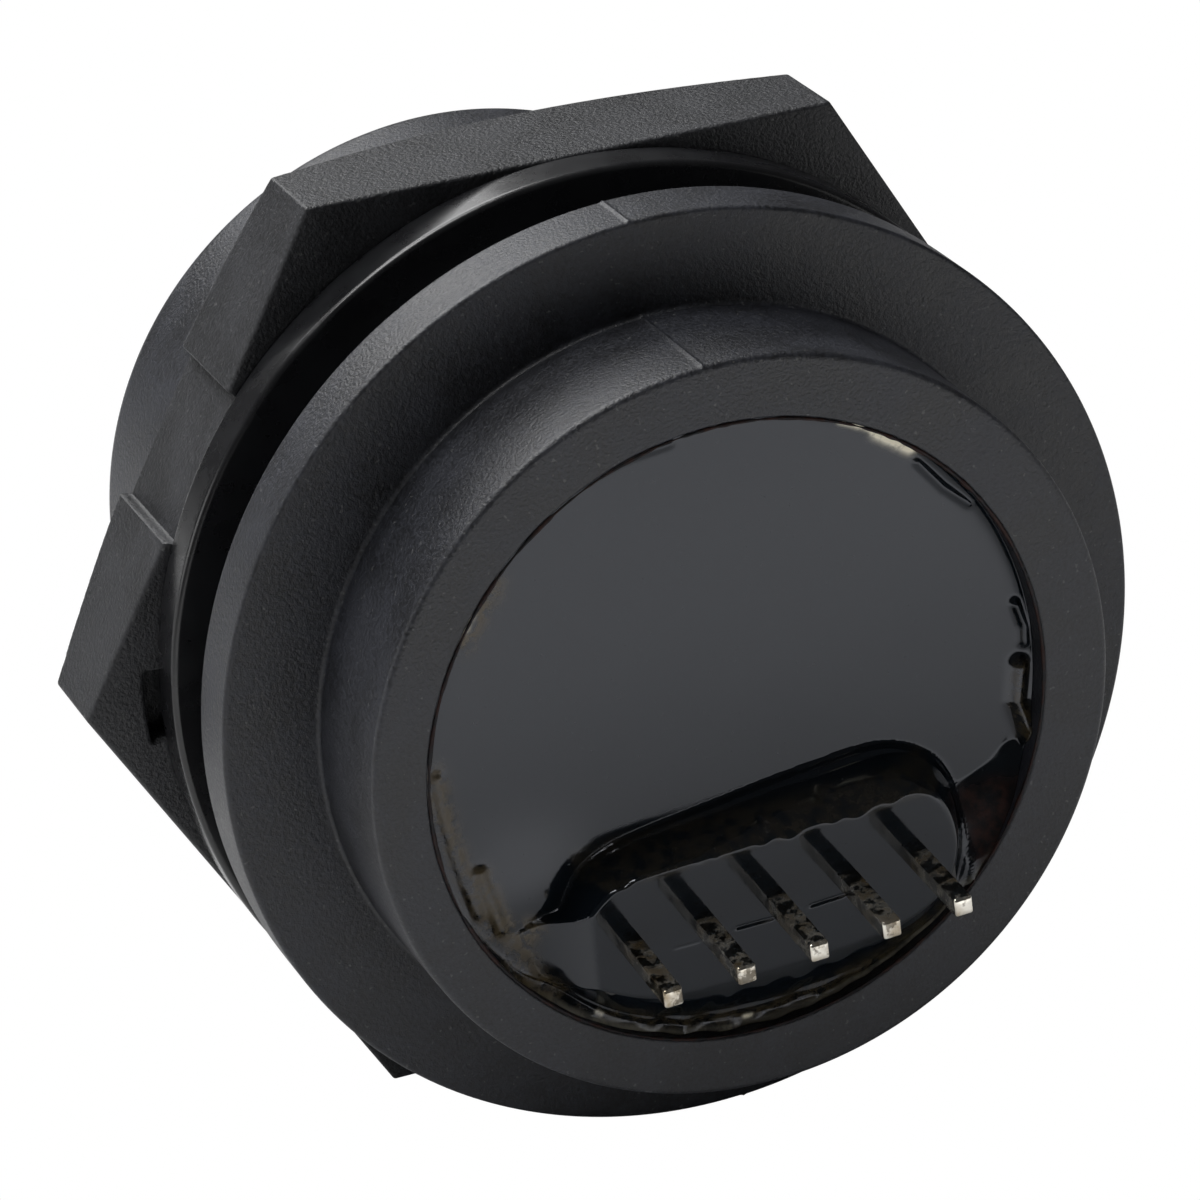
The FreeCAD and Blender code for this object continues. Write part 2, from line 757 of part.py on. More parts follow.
def make_contact(index, place):
    body = new_body(f"contact_{index}")
    bow_front = CONTACT_END - size("bow_back")
    bow_middle = bow_front - size("bow_len") / 2
    bow_rear = bow_front - size("bow_len")
    bow = size("contact_bow")
    side = new_sketch(body, "ContactSide", "YZ_Plane", place)
    add_outline(side, [
        (TAIL_END, CONTACT_FACE),
        (bow_rear, CONTACT_FACE),
        (bow_middle, CONTACT_FACE - bow),
        (bow_front, CONTACT_FACE),
        (CONTACT_END, CONTACT_FACE),
        (CONTACT_END, CONTACT_TOP),
        (bow_front, CONTACT_TOP),
        (bow_middle, CONTACT_TOP - bow),
        (bow_rear, CONTACT_TOP),
        (TAIL_END, CONTACT_TOP),
    ])
    push_sideways(body, "Strip", side, size("contact_wide"))
    trim = cross_sketch(body, "TailTrim", TAIL_END)
    step = (size("contact_wide") - size("tail_wide")) / 2
    thick = size("contact_sheet") + size("cut_past")
    for edge in (-1, 1):
        middle = place + (size("contact_wide") - step) / 2 * edge
        add_outline(trim, centred_box(middle, CONTACT_MIDDLE, step, thick))
    push(body, "Tail", trim, BOARD_FRONT - TAIL_END, forward=True, grows=False)
    return body


def make_carrier():
    body = new_body("socket_carrier")
    gap = size("carrier_gap")
    outer = POCKET - gap
    front = STOP - gap
    skirt = outer - size("skirt_wall")
    floor = BOARD_FRONT + size("skirt_len")
    turn_profile(body, "Plug", [
        (ZERO, floor),
        (skirt, floor),
        (skirt, BOARD_FRONT),
        (outer, BOARD_FRONT),
        (outer, STOP_BACK),
        (front, STOP_BACK),
        (front, NOSE_FLOOR),
        (ZERO, NOSE_FLOOR),
    ])
    seal_inner = POCKET - size("seal_section")
    half = size("seal_section") / 2 + size("seal_side")
    centre = STOP_BACK - size("seal_back")
    turn_profile(
        body,
        "SealGroove",
        box_corners(seal_inner, outer + size("seal_side"), centre - half, centre + half),
        grows=False,
    )
    hole = cross_sketch(body, "ShellHole", floor)
    hole_wide = size("shell_wide") + size("shell_gap") * 2
    hole_tall = size("shell_tall") + size("shell_gap") * 2
    add_rounded_box(hole, ZERO, ZERO, hole_wide, hole_tall, size("shell_bend"))
    push(body, "Hole", hole, NOSE_FLOOR - floor, forward=True, grows=False)
    return body


def make_seal(label, radius, place, section):
    """Rubber ring of round section, lying across the axis."""
    body = new_body(label)
    sketch = new_sketch(body, "SectionSketch", "XY_Plane")
    add_circle(sketch, radius, place, section)
    revolve(body, "Ring", sketch)
    return body


def make_carrier_seal():
    section = size("seal_section")
    radius = POCKET - section / 2
    return make_seal("carrier_seal", radius, STOP_BACK - size("seal_back"), section)


def make_plug_seal():
    section = size("plug_seal_section")
    radius = BORE - size("plug_seal_stand") + section / 2
    return make_seal("mating_seal", radius, NOSE_END - size("plug_seal_back"), section)


def make_parts():
    parts = [
        make_housing(),
        make_gasket(),
        make_nut(),
        make_potting(),
        make_header_block(),
        make_board(),
        make_shell(),
        make_insulator(),
        make_carrier(),
        make_carrier_seal(),
        make_plug_seal(),
    ]
    for index, place in enumerate(PIN_PLACES, start=1):
        parts.append(make_pin(index, place))
    for index, place in enumerate(CONTACT_PLACES, start=1):
        parts.append(make_contact(index, place))
    return parts


def main():
    parts = make_parts()
    doc.recompute()
    for item in doc.Objects:
        if "Invalid" in item.State or "Error" in item.State:
            raise RuntimeError(f"{item.Label} failed to build")
    os.makedirs("parts", exist_ok=True)
    for part in parts:
        if part.Shape.isNull() or not part.Shape.isValid():
            raise RuntimeError(f"{part.Label} has no valid shape")
        part.Shape.exportStep(f"parts/{part.Label}.step")


main()
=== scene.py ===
"""Panel mount USB socket, seen from its potted rear. Shapes are worked out in millimetres."""
import math

import bpy
import numpy as np
from mathutils import Matrix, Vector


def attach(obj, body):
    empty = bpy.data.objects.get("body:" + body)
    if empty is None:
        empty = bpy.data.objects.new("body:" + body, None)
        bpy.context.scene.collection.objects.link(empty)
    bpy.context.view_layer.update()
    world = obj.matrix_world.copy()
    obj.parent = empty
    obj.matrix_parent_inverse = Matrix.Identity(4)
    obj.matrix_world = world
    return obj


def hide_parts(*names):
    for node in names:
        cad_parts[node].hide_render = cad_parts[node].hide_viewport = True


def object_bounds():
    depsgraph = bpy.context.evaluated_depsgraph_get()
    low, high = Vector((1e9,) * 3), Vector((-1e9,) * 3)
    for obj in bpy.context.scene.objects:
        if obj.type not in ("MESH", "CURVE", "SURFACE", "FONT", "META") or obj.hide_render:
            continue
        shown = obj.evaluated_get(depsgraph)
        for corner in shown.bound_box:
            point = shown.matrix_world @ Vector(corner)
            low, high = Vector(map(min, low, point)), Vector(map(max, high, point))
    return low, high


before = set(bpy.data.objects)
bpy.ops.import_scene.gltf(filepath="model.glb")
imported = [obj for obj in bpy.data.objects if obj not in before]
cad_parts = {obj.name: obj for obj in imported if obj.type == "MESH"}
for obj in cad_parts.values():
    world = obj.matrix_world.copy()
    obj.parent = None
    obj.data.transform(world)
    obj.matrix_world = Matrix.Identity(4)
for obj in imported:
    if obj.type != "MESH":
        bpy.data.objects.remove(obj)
cad_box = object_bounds()

MM = 0.001

# Places along the axis, from the pocket's rim at the back to the nose's end at the front
RIM, FLANGE_BACK, RELIEF, THREAD_END, NOSE_END = -7.4, -2.4, 1.4, 13.0, 19.5
GASKET_BACK, NUT_BACK, NUT_FRONT = 2.9, 4.6, 9.6
STOP_BACK, NOSE_FLOOR, SEAL_BACK, SEAL_FRONT = 8.7, 10.2, 14.65, 16.55
# Radii of the housing, outside and inside
BOSS, FLANGE, ROOT, THREAD, NOSE = 12.75, 16.0, 13.2, 14.0, 13.25
POCKET, STOP, BORE, SEAL_GROOVE = 10.75, 9.4, 10.6, 11.65
# Thread: its pitch, and how far before its end it starts to taper
PITCH, THREAD_LEAD = 1.5, 0.9
# Nut: distance to a flat, turn in degrees, and the chamfer's drop at the corners
NUT_FLAT, NUT_TURN, CHAMFER_DROP = 16.0, -3.2, 1.45
# Sunk strip in one flat, and slot across one rear corner; the angles count from the first corner
STRIP_ANGLE, STRIP_HALF, STRIP_DEPTH = 150, 2.7, 0.45
SLOT_ANGLE, SLOT_HALF, SLOT_DEPTH, SLOT_REACH = 180, 1.2, 1.2, 16.37
# Resin: depths of the pool and of the flat part round the pins, and place of its back
POOL_DEPTH, MESA_DEPTH, RESIN_BACK = 1.1, -0.45, -5.36
# The flat part leans by this much per millimetre, about this Z, and the pins lean with it
LEAN, LEAN_ABOUT = 0.085, -7.45
# Pins: places of tip and tail, half width, Z of the row and pitch
PIN_TIP, PIN_TAIL, PIN_HALF, PIN_ROW, PIN_PITCH = -11.3, -2.85, 0.32, -6.2, 2.54
# Radius and middle of the pocket's mouth, which lies a little off the axis
MOUTH, MOUTH_X, MOUTH_Z = 10.7, -0.22, 0.0


# Helpers for meshes

def build_mesh(name, points, quads, triangles=None):
    """Mesh from an array of points in millimetres and arrays of corner numbers, shaded smooth."""
    corners = [quads.ravel()]
    starts = [np.arange(len(quads)) * 4]
    if triangles is not None:
        corners.append(triangles.ravel())
        starts.append(len(quads) * 4 + np.arange(len(triangles)) * 3)
    corners, starts = np.concatenate(corners), np.concatenate(starts)
    mesh = bpy.data.meshes.new(name)
    mesh.vertices.add(len(points))
    mesh.vertices.foreach_set("co", (np.asarray(points, float) * MM).ravel())
    mesh.loops.add(len(corners))
    mesh.loops.foreach_set("vertex_index", corners.astype(np.int32))
    mesh.polygons.add(len(starts))
    mesh.polygons.foreach_set("loop_start", starts.astype(np.int32))
    mesh.update(calc_edges=True)
    mesh.validate()
    mesh.shade_smooth()
    return mesh


def lattice_faces(rows, columns, close_rows=True):
    """Four-cornered faces of a lattice that closes round its columns, and by choice its rows."""
    row = np.arange(rows if close_rows else rows - 1)[:, None]
    column = np.arange(columns)[None, :]
    after_row, after_column = (row + 1) % rows, (column + 1) % columns
    corners = [row * columns + column, after_row * columns + column,
               after_row * columns + after_column, row * columns + after_column]
    return np.stack([np.broadcast_to(c, (len(row), columns)) for c in corners], -1).reshape(-1, 4)


def faced_outward(points, quads):
    """The same faces, turned over if the volume that they close comes out negative."""
    a, b, c, d = (points[quads[:, k]] for k in range(4))
    volume = np.einsum("ij,ij->i", a, np.cross(b, c) + np.cross(c, d)).sum()
    return quads if volume > 0 else quads[:, ::-1]


def add_piece(name, mesh, material, replaced):
    """Object for a mesh that is already in place, riding on the one body."""
    piece = bpy.data.objects.new(name, mesh)
    bpy.context.collection.objects.link(piece)
    mesh.materials.append(material)
    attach(piece, "root")
    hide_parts(*replaced)


def rounded_profile(corners, step):
    """Closed profile: each corner (radius, place, round) becomes an arc that touches its two sides,
    and the straight runs between arcs are split into parts no longer than step, with one more
    point close to each end."""
    arc_step, end_gap = math.radians(15), 0.05
    path = []
    count = len(corners)
    for index in range(count):
        before, corner, after = (
            np.array(corners[(index + k) % count][:2], float) for k in (-1, 0, 1))
        radius = corners[index][2]
        back, ahead = before - corner, after - corner
        back, ahead = back / np.linalg.norm(back), ahead / np.linalg.norm(ahead)
        half = math.acos(np.clip(back @ ahead, -1, 1)) / 2
        middle = (back + ahead) / np.linalg.norm(back + ahead)
        centre = corner + middle * radius / math.sin(half)
        start = corner + back * radius / math.tan(half) - centre
        end = corner + ahead * radius / math.tan(half) - centre
        swing = math.pi - 2 * half
        parts = max(3, int(round(swing / arc_step)))
        for part in range(parts + 1):
            share = part / parts
            blend = math.sin((1 - share) * swing) * start + math.sin(share * swing) * end
            path.append(centre + blend / math.sin(swing))
    path = np.array(path)
    filled = []
    for index, point in enumerate(path):
        after = path[(index + 1) % len(path)]
        length = np.linalg.norm(after - point)
        shares = np.linspace(0, 1, max(1, math.ceil(length / step)) + 1)[:-1]
        if length > step:
            gap = end_gap / length
            shares = np.concatenate([[0, gap], shares[1:], [1 - gap]])
        filled += [point + (after - point) * share for share in shares]
    return np.array(filled)


def waves(x, y, size, seed, count=9):
    """Smooth irregular field about -1 to 1: plane waves of random direction, about size apart."""
    rng = np.random.default_rng(seed)
    total = np.zeros(np.broadcast(x, y).shape)
    for _ in range(count):
        angle, phase = rng.uniform(0, 2 * math.pi, 2)
        length = size * rng.uniform(0.7, 1.6)
        total += np.sin((x * math.cos(angle) + y * math.sin(angle)) * 2 * math.pi / length + phase)
    return total / math.sqrt(count)


def smoothstep(low, high, value):
    """0 at low and 1 at high, with a soft start and end; low may be the larger of the two."""
    share = np.clip((value - low) / (high - low), 0, 1)
    return share * share * (3 - 2 * share)


def hump(distance, width):
    """Bell of height 1 round distance 0."""
    return np.exp(-(distance / width) ** 2)


def softer_minimum(first, second, gap):
    """The smaller of two values, with the bend where they cross rounded over about gap."""
    return (first + second - np.sqrt((first - second) ** 2 + gap ** 2)) / 2


# Materials

def linear(colour):
    """Linear colour of an sRGB hex string."""
    channels = [int(colour[k:k + 2], 16) / 255 for k in (0, 2, 4)]
    return (*[c / 12.92 if c <= 0.04045 else ((c + 0.055) / 1.055) ** 2.4 for c in channels], 1.0)


def add_node(tree, kind, inputs=None, **settings):
    """Node with its settings, and each named input either linked to a socket or set to a value."""
    node = tree.nodes.new(kind)
    for key, value in settings.items():
        setattr(node, key, value)
    for key, value in (inputs or {}).items():
        if isinstance(value, bpy.types.NodeSocket):
            tree.links.new(value, node.inputs[key])
        else:
            node.inputs[key].default_value = value
    return node


def new_material(name):
    """Empty material: itself, its node tree, its shader and the object's own coordinates."""
    material = bpy.data.materials.new(name)
    material.use_nodes = True
    tree = material.node_tree
    tree.nodes.clear()
    shader = add_node(tree, "ShaderNodeBsdfPrincipled")
    add_node(tree, "ShaderNodeOutputMaterial", {"Surface": shader.outputs[0]})
    place = add_node(tree, "ShaderNodeTexCoord").outputs["Object"]
    return material, tree, shader, place


def noise(tree, place, size, detail=2.0, roughness=0.5, distortion=0.0):
    """Noise whose main features are size millimetres across."""
    return add_node(tree, "ShaderNodeTexNoise", {
        "Vector": place, "Scale": 1000 / size, "Detail": detail, "Roughness": roughness,
        "Distortion": distortion}).outputs["Fac"]


def ramp(tree, value, low, high, start, end):
    """Value from low..high carried to start..end."""
    return add_node(tree, "ShaderNodeMapRange", {
        "Value": value, "From Min": low, "From Max": high,
        "To Min": start, "To Max": end}).outputs[0]


def mixed(tree, share, first, second):
    """Colour between first and second."""
    return add_node(tree, "ShaderNodeMix", {"Factor": share, "A": first, "B": second},
                    data_type="RGBA").outputs[2]


def product(tree, first, second):
    """First times second."""
    return add_node(tree, "ShaderNodeMath", {0: first, 1: second}, operation="MULTIPLY").outputs[0]


def added(tree, first, second):
    """First plus second."""
    return add_node(tree, "ShaderNodeMath", {0: first, 1: second}, operation="ADD").outputs[0]


def bumped(tree, layers):
    """Normal from several (height, depth in millimetres) layers."""
    normal = None
    for height, depth in layers:
        inputs = {"Height": height, "Distance": depth * MM, "Strength": 1.0}
        if normal is not None:
            inputs["Normal"] = normal
        normal = add_node(tree, "ShaderNodeBump", inputs).outputs[0]
    return normal


def moulded_plastic(name, colour, light, roughness, grain, depth, specks=0.0):
    """Dark moulded plastic: grain in height, tone and gloss, soft flow marks, and pale specks."""
    material, tree, shader, place = new_material(name)
    fine = noise(tree, place, grain, 2.0, 0.6)
    flow = noise(tree, place, 2.6, 3.0, 0.55, 0.4)
    tone = ramp(tree, flow, 0.35, 0.65, 0.2, 0.8)
    tone = added(tree, ramp(tree, fine, 0.3, 0.7, -0.5, 0.5), tone)
    base = mixed(tree, tone, linear(colour), linear(light))
    if specks:
        dots = noise(tree, place, grain * 1.3, 1.0, 0.5)
        base = mixed(tree, ramp(tree, dots, 0.7, 0.76, 0.0, specks), base, linear("b9b9b4"))
    tree.links.new(base, shader.inputs["Base Color"])
    worn = ramp(tree, flow, 0.3, 0.7, -0.04, 0.04)
    dull = added(tree, worn, ramp(tree, fine, 0.3, 0.7, roughness - 0.07, roughness + 0.07))
    tree.links.new(dull, shader.inputs["Roughness"])
    shader.inputs["IOR"].default_value = 1.53
    tree.links.new(bumped(tree, [(flow, 0.012), (fine, depth)]), shader.inputs["Normal"])
    return material


def rubber(name, colour, roughness):
    """Smooth moulded rubber with a faint bloom and slight waves."""
    material, tree, shader, place = new_material(name)
    bloom = noise(tree, place, 1.7, 4.0, 0.6)
    waviness = noise(tree, place, 3.5, 1.0)
    fine = noise(tree, place, 0.08, 2.0)
    base = mixed(tree, ramp(tree, bloom, 0.4, 0.7, 0.0, 1.0), linear(colour), linear("1d1e20"))
    tree.links.new(base, shader.inputs["Base Color"])
    tree.links.new(ramp(tree, bloom, 0.3, 0.7, roughness - 0.05, roughness + 0.08),
                   shader.inputs["Roughness"])
    shader.inputs["IOR"].default_value = 1.52
    tree.links.new(bumped(tree, [(waviness, 0.02), (fine, 0.0012)]), shader.inputs["Normal"])
    return material


def epoxy(name):
    """Glossy black casting resin. The mesh's colour attribute gives the shares of dried olive
    residue, of a pale cream colour that paints glints, and of red-brown residue, which is dull and
    lumpy;
    on the bead at the pocket's edge the red-brown share paints the shade of a thin gap at the wall."""
    material, tree, shader, place = new_material(name)
    shares = add_node(tree, "ShaderNodeAttribute", attribute_name="residue_and_painted_light").outputs["Color"]
    olive, painted_glint, red = add_node(tree, "ShaderNodeSeparateColor", {"Color": shares}).outputs[:3]
    mottle = noise(tree, place, 0.45, 4.0, 0.65)
    dust = noise(tree, place, 0.12, 1.0)
    base = mixed(tree, ramp(tree, dust, 0.74, 0.8, 0.0, 0.1), linear("0c1116"), linear("6c6c68"))
    patches = product(tree, olive, ramp(tree, mottle, 0.4, 0.56, 0.1, 1.0))
    base = mixed(tree, patches, base, linear("51462f"))
    # Red-brown residue, dark and dull; the same mix on the rim bead is painted shade of a thin gap
    # at the wall.
    stain = product(tree, red, ramp(tree, mottle, 0.3, 0.6, 0.55, 1.0))
    patchy = ramp(tree, mottle, 0.4, 0.6, 0.0, 1.0)
    base = mixed(tree, stain, base, mixed(tree, patchy, linear("120d0b"), linear("2b1812")))
    # Painted glints: a pale cream colour where the second share is set.
    glint_paint = product(tree, painted_glint, ramp(tree, mottle, 0.36, 0.5, 0.55, 1.0))
    base = mixed(tree, glint_paint, base, linear("f0e9d2"))
    tree.links.new(base, shader.inputs["Base Color"])
    dull = ramp(tree, noise(tree, place, 0.9, 3.0), 0.3, 0.7, 0.05, 0.10)
    dull = added(tree, product(tree, patches, 0.3), dull)
    dull = added(tree, product(tree, stain, 0.45), dull)
    tree.links.new(dull, shader.inputs["Roughness"])
    tree.links.new(ramp(tree, red, 0.0, 1.0, 0.5, 0.2), shader.inputs["Specular IOR Level"])
    shader.inputs["IOR"].default_value = 1.51
    shader.inputs["Specular Tint"].default_value = linear("f1f4fc")
    lumps = product(tree, mottle, added(tree, olive, red))
    swell = noise(tree, place, 4.0, 1.0)
    tree.links.new(bumped(tree, [(swell, 0.006), (dust, 0.0004), (lumps, 0.03)]),
                   shader.inputs["Normal"])
    return material


def plated_metal(name, colour, stain, roughness, grain, stretch, depth=0.0015, tarnish=0.0):
    """Plated metal with faint drawn lines, a slight stain, and tarnish in patches: a share of the
    metal's shine that is lost there."""
    material, tree, shader, place = new_material(name)
    lines = add_node(tree, "ShaderNodeMapping", {"Vector": place, "Scale": stretch}).outputs[0]
    drawn = noise(tree, lines, grain, 3.0, 0.6)
    cloud = noise(tree, place, 0.8, 3.0, 0.6)
    stained = mixed(tree, ramp(tree, cloud, 0.4, 0.75, 0.0, 1.0), linear(colour), linear(stain))
    patches = noise(tree, place, 0.5, 3.0, 0.65)
    dull = ramp(tree, patches, 0.5, 0.6, 0.0, 1.7 * tarnish)
    tree.links.new(mixed(tree, dull, stained, linear("4a3d26")), shader.inputs["Base Color"])
    tree.links.new(ramp(tree, patches, 0.48, 0.62, 1.0, 1.0 - tarnish), shader.inputs["Metallic"])
    tree.links.new(ramp(tree, drawn, 0.3, 0.7, roughness - 0.05, roughness + 0.08),
                   shader.inputs["Roughness"])
    tree.links.new(bumped(tree, [(drawn, depth)]), shader.inputs["Normal"])
    return material


def board_laminate(name):
    """Green solder mask over a faint glass weave."""
    material, tree, shader, place = new_material(name)
    weave = add_node(tree, "ShaderNodeTexWave", {"Vector": place, "Scale": 1000 / 0.9,
                                                 "Distortion": 1.0}).outputs["Fac"]
    base = mixed(tree, weave, linear("0f4a2a"), linear("16593a"))
    tree.links.new(base, shader.inputs["Base Color"])
    shader.inputs["Roughness"].default_value = 0.3
    tree.links.new(bumped(tree, [(weave, 0.004)]), shader.inputs["Normal"])
    return material


NYLON = moulded_plastic("black_nylon_body", "131418", "2a2c33", 0.5, 0.13, 0.034, 0.1)
NUT_NYLON = moulded_plastic("black_nylon_nut", "111215", "2a2b2f", 0.52, 0.14, 0.045, 0.1)
CARRIER = moulded_plastic("black_nylon_carrier", "17181a", "1d1e20", 0.45, 0.1, 0.003)
HEADER = moulded_plastic("black_header_plastic", "151515", "1b1b1b", 0.4, 0.09, 0.002)
INSULATOR = moulded_plastic("white_insulator_plastic", "dcdad2", "e6e4dd", 0.42, 0.09, 0.002)
GASKET = rubber("black_gasket_rubber", "18181a", 0.27)
SEAL = rubber("black_seal_rubber", "191a1b", 0.3)
RESIN = epoxy("black_casting_resin")
TIN = plated_metal("tinned_brass_pin", "e8e4da", "85704a", 0.12, 0.15, (6, 0.6, 6), 0.0008, 0.45)
STEEL = plated_metal("tinned_steel_sheet", "b9bab8", "a3a4a2", 0.27, 0.25, (5, 0.5, 5))
GOLD = plated_metal("gold_plated_contact", "d9b15a", "c29a48", 0.2, 0.15, (6, 0.6, 6))
BOARD = board_laminate("green_board_laminate")


# Housing and gasket

def lathe_points(radius, place, angles):
    """Points of a turned surface: radius and place may be per row, or per row and column."""
    radius, place = np.broadcast_arrays(radius, place)
    if radius.ndim == 1:
        radius, place = radius[:, None], place[:, None]
    radius, place, angles = np.broadcast_arrays(radius, place, angles[None, :])
    return np.stack([radius * np.cos(angles), place, radius * np.sin(angles)], -1).reshape(-1, 3)


def turned_mesh(name, radius, place, angles):
    """Closed turned mesh, one row of points for each row of radius."""
    points = lathe_points(radius, place, angles)
    quads = lattice_faces(len(radius), len(angles))
    return build_mesh(name, points, faced_outward(points, quads))


def housing_profile():
    """Section of the housing (radius, place), its barrel split into rows of one even distance."""
    lead = 0.5
    profile = rounded_profile([
        (POCKET, RIM, 0.12), (BOSS, RIM, 0.2), (BOSS, FLANGE_BACK, 0.15),
        (FLANGE, FLANGE_BACK, 0.14), (FLANGE, 0, 0.2), (ROOT, 0, 0.1), (ROOT, RELIEF, 0.1),
        (THREAD, RELIEF + 0.05, 0.1), (THREAD, THREAD_END - THREAD_LEAD, 0.1),
        (NOSE, THREAD_END, 0.1), (NOSE, NOSE_END, 0.8), (BORE + lead, NOSE_END, 0.08),
        (BORE, NOSE_END - lead, 0.08), (BORE, SEAL_FRONT, 0.08), (SEAL_GROOVE, SEAL_FRONT, 0.08),
        (SEAL_GROOVE, SEAL_BACK, 0.08), (BORE, SEAL_BACK, 0.08), (BORE, NOSE_FLOOR, 0.1),
        (STOP, NOSE_FLOOR, 0.08), (STOP, STOP_BACK, 0.1), (POCKET, STOP_BACK, 0.1)], 0.5)
    radius, place = profile[:, 0], profile[:, 1]
    on_barrel = (radius > NOSE - 0.01) & (radius < THREAD + 0.01)
    on_barrel &= (place > RELIEF) & (place < THREAD_END + 0.3)
    first, last = np.flatnonzero(on_barrel)[[0, -1]]
    rows = np.arange(RELIEF + 0.005, THREAD_END + 0.05, 0.1)
    barrel = np.stack([np.interp(rows, place[first:last + 1], radius[first:last + 1]), rows], 1)
    return np.concatenate([profile[:first], barrel, profile[last + 1:]])


def housing():
    """Housing: a turned profile whose barrel carries a right-handed V thread. At each point the
    phase is (place - start) / pitch + angle / turn, whole in the groove's middle, and the radius
    rises softly from the root to the crest as the phase leaves it by 0.04 up to 0.46. The mould's
    parting marks are a raised line and a small step, at the top and at the bottom. The pocket's
    wall is moved a little off the axis at its mouth."""
    profile = housing_profile()
    radius, place = profile[:, :1], profile[:, 1:]
    even = np.radians(np.arange(0, 360, 1.25))
    close = np.radians(np.linspace(-0.9, 0.9, 13))
    seams = [math.pi / 2 + close, 1.5 * math.pi + close]
    angles = np.unique(np.concatenate([even, *seams]).round(6))
    phase = (place - RELIEF / 2) / PITCH + angles[None, :] / (2 * math.pi)
    off_middle = np.abs(phase - np.round(phase))
    cut = ROOT + (THREAD - ROOT) * smoothstep(0.04, 0.46, off_middle)
    threaded = (radius > NOSE - 0.01) & (radius < THREAD + 0.01)
    threaded &= (place > RELIEF - 0.1) & (place < THREAD_END + 0.1)
    radius = np.where(threaded, np.minimum(radius, cut), radius)
    ripple = 0.006 * waves(angles[None, :] * 9, place, 7.0, 3)
    from_seam = np.abs(np.cos(angles)) * radius
    outside = smoothstep(BOSS - 0.3, BOSS - 0.1, radius) * (place < 0.3)
    line_height, line_width, step = 0.035, 0.07, 0.02
    seam = outside * (line_height * hump(from_seam, line_width) + step * (np.cos(angles) > 0))
    at_pocket = smoothstep(11.5, 11.0, radius) * smoothstep(FLANGE_BACK, FLANGE_BACK - 1.0, place)
    off_centre = MOUTH - POCKET + MOUTH_X * np.cos(angles) + MOUTH_Z * np.sin(angles)
    radius = radius + ripple + seam + at_pocket * off_centre
    mesh = turned_mesh("housing_body", radius, place, angles)
    add_piece("housing_body", mesh, NYLON, ["housing"])


def gasket():
    """Gasket: a turned ring with rounded rims, its outer side a little uneven."""
    bore = THREAD + 0.05
    profile = rounded_profile([(bore, GASKET_BACK, 0.08), (FLANGE, GASKET_BACK, 0.2),
                               (FLANGE, NUT_BACK, 0.2), (bore, NUT_BACK, 0.08)], 0.25)
    angles = np.linspace(0, 2 * math.pi, 240, endpoint=False)
    radius, place = profile[:, :1], profile[:, 1:]
    across, up = np.cos(angles)[None, :] * FLANGE, np.sin(angles)[None, :] * FLANGE
    wander = 0.02 * waves(across, up, 11.0, 5) * smoothstep(FLANGE - 0.3, FLANGE, radius)
    mesh = turned_mesh("gasket_ring", radius - 0.02 + wander, place, angles)
    add_piece("gasket_ring", mesh, GASKET, ["panel_gasket"])


# Hexagon nut

def nut_angles():
    """Angles round the nut: an even set, made denser at its corners, strip sides and slot sides."""
    to_strip_side, to_slot_side = 9.575, 4.2
    corners = [(60 * corner, 0.7, 13) for corner in range(6)]
    strip_sides = [(STRIP_ANGLE + side * to_strip_side, 0.5, 13) for side in (-1, 1)]
    slot_sides = [(SLOT_ANGLE + side * to_slot_side, 0.7, 7) for side in (-1, 1)]
    angles = np.radians(np.arange(0, 360, 1.5))
    for middle, reach, count in corners + strip_sides + slot_sides:
        dense = np.radians(NUT_TURN + middle) + np.radians(np.linspace(-reach, reach, count))
        angles = np.concatenate([angles, dense % (2 * math.pi)])
    angles = np.unique(angles.round(6))
    keep = np.diff(angles, append=angles[0] + 2 * math.pi) > math.radians(0.06)
    return angles[keep]


def nut_outline(angles):
    """Outer radius at each angle: the hexagon's, each corner an arc of radius bend that touches its
    two flats, less the sunk strip."""
    turned_by = np.degrees(angles) - NUT_TURN
    from_flat = np.radians(turned_by % 60 - 30)
    from_corner = np.radians((turned_by + 30) % 60 - 30)
    bend = 0.12
    centre = (NUT_FLAT - bend) / math.cos(math.radians(30))
    reach = np.maximum(bend ** 2 - (centre * np.sin(from_corner)) ** 2, 0)
    touch = math.atan2(bend * 0.5, centre + bend * math.cos(math.radians(30)))
    outline = np.where(np.abs(from_corner) < touch,
                       centre * np.cos(from_corner) + np.sqrt(reach), NUT_FLAT / np.cos(from_flat))
    from_strip = np.radians(np.clip((turned_by - STRIP_ANGLE + 180) % 360 - 180, -40, 40))
    across = np.abs(NUT_FLAT * np.tan(from_strip))
    sunk = smoothstep(STRIP_HALF + 0.03, STRIP_HALF - 0.03, across)
    return outline - STRIP_DEPTH / np.cos(from_strip) * sunk


